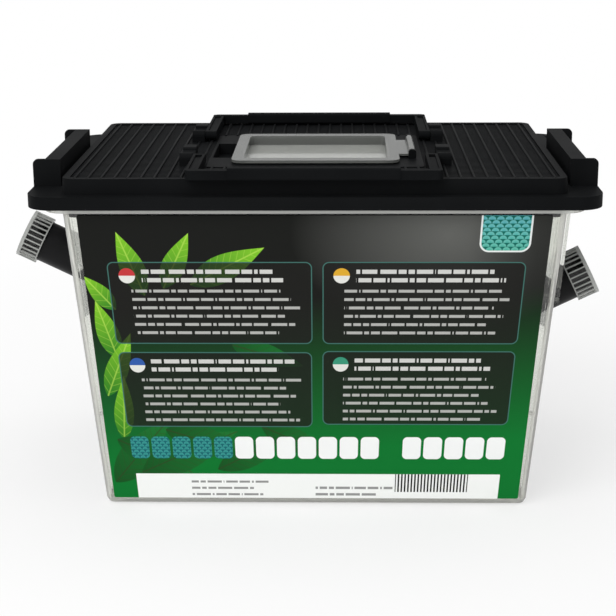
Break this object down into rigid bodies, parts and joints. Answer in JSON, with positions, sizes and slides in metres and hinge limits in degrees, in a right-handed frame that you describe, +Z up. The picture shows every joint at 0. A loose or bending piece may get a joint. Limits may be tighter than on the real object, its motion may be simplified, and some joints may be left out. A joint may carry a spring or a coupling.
{
  "type": "cricket keeper box",
  "caption": "Clear drafted insect box with a black vented lid, a hinged hatch, folding carrying handles, sloping slide-out hide tubes with ribbed caps, and loose dishes.",
  "frame": {"origin": "centre of the tub's flat underside", "axes": "+Z up; +X along the length, to the right for a viewer who faces the label; the labelled front faces -Y"},
  "size_m": [0.3423, 0.2004, 0.1938],
  "materials": {
    "clear_plastic": "clear polished",
    "black_plastic": "satin moulded",
    "tube_plastic": "satin extruded",
    "dish_plastic": "satin moulded",
    "label_film": "printed satin film"
  },
  "bodies": {
    "tub_body": {"tub": "clear_plastic", "front_label": "label_film"},
    "lid_body": {"lid": "black_plastic"},
    "hatch_body": {"hatch": "clear_plastic"},
    "front_handle_body": {"front_handle": "black_plastic"},
    "rear_handle_body": {"rear_handle": "black_plastic"},
    "left_tube_body": {"left_tube": "tube_plastic"},
    "right_tube_body": {"right_tube": "tube_plastic"},
    "left_cap_body": {"left_tube_cap": "clear_plastic"},
    "right_cap_body": {"right_tube_cap": "clear_plastic"},
    "food_dish_body": {"food_dish": "dish_plastic"},
    "water_dish_body": {"water_dish": "dish_plastic"},
    "water_grid_body": {"water_dish_grid": "black_plastic"}
  },
  "joints": [
    {"name": "lid_lift", "type": "slide", "parent": "tub_body", "child": "lid_body", "axis": [0, 0, 1], "range_m": [0, 0.06]},
    {"name": "hatch_swing", "type": "hinge", "parent": "lid_body", "child": "hatch_body", "pos_m": [0.0535, -0.0055, 0.1895], "axis": [0, -1, 0], "range_deg": [-110, 0]},
    {"name": "front_handle_swing", "type": "hinge", "parent": "lid_body", "child": "front_handle_body", "pos_m": [0, -0.048, 0.1899], "axis": [-1, 0, 0], "range_deg": [0, 120]},
    {"name": "rear_handle_swing", "type": "hinge", "parent": "lid_body", "child": "rear_handle_body", "pos_m": [0, 0.028, 0.1899], "axis": [1, 0, 0], "range_deg": [0, 130]},
    {"name": "left_tube_slide", "type": "slide", "parent": "tub_body", "child": "left_tube_body", "axis": [-0.8988, 0, 0.4384], "range_m": [-0.023, 0.202]},
    {"name": "right_tube_slide", "type": "slide", "parent": "tub_body", "child": "right_tube_body", "axis": [0.8988, 0, 0.4384], "range_m": [0, 0.225]},
    {"name": "left_cap_pull", "type": "slide", "parent": "left_tube_body", "child": "left_cap_body", "axis": [-0.8988, 0, 0.4384], "range_m": [0, 0.02]},
    {"name": "right_cap_pull", "type": "slide", "parent": "right_tube_body", "child": "right_cap_body", "axis": [0.8988, 0, 0.4384], "range_m": [0, 0.02]},
    {"name": "food_dish_lift", "type": "slide", "parent": "tub_body", "child": "food_dish_body", "axis": [0, 0, 1], "range_m": [0, 0.03]},
    {"name": "water_dish_lift", "type": "slide", "parent": "tub_body", "child": "water_dish_body", "axis": [0, 0, 1], "range_m": [0, 0.03]},
    {"name": "water_grid_lift", "type": "slide", "parent": "water_dish_body", "child": "water_grid_body", "axis": [0, 0, 1], "range_m": [0, 0.02]}
  ]
}
